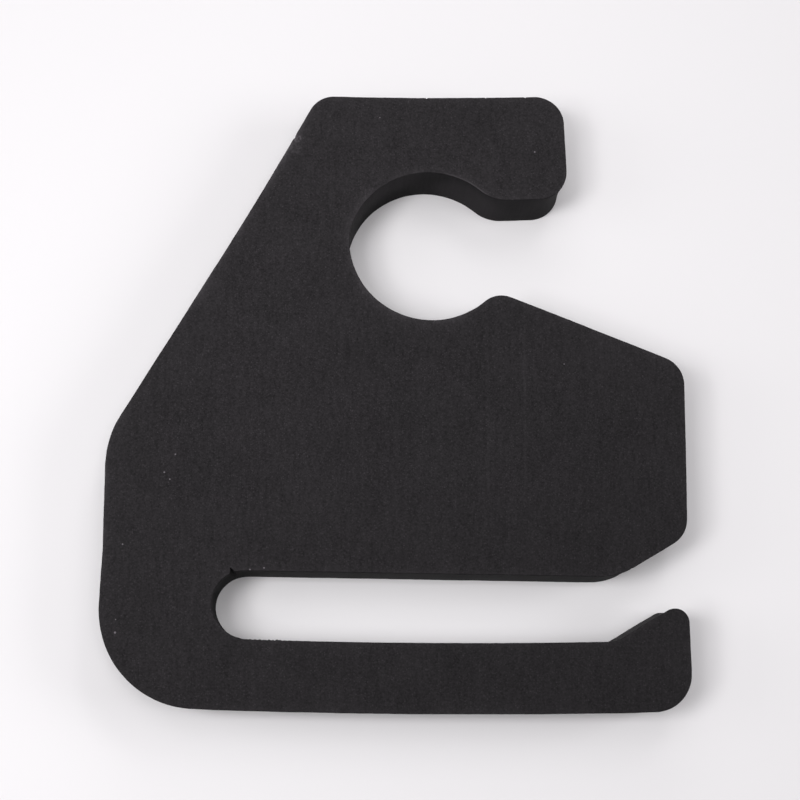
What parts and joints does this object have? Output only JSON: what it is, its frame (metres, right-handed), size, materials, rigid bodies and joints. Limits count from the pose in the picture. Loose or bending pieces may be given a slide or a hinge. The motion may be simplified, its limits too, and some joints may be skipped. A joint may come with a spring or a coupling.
{
  "type": "foam protector block",
  "caption": "Flat foam protector block with a hooked round seat that clips round a tube and a long open slot that slides over a bar.",
  "frame": {"origin": "centre of the block's bounding box on its lower flat face", "axes": "+Z is the sheet's thickness, up from the face the block lies on. +Y runs from the slotted foot to the hook. +X points out of the mouths of the round seat and the slot."},
  "size_m": [0.2552, 0.2804, 0.03],
  "materials": {
    "closed_cell_foam": "matte"
  },
  "bodies": {
    "root": {"foam_block": "closed_cell_foam"}
  },
  "joints": []
}
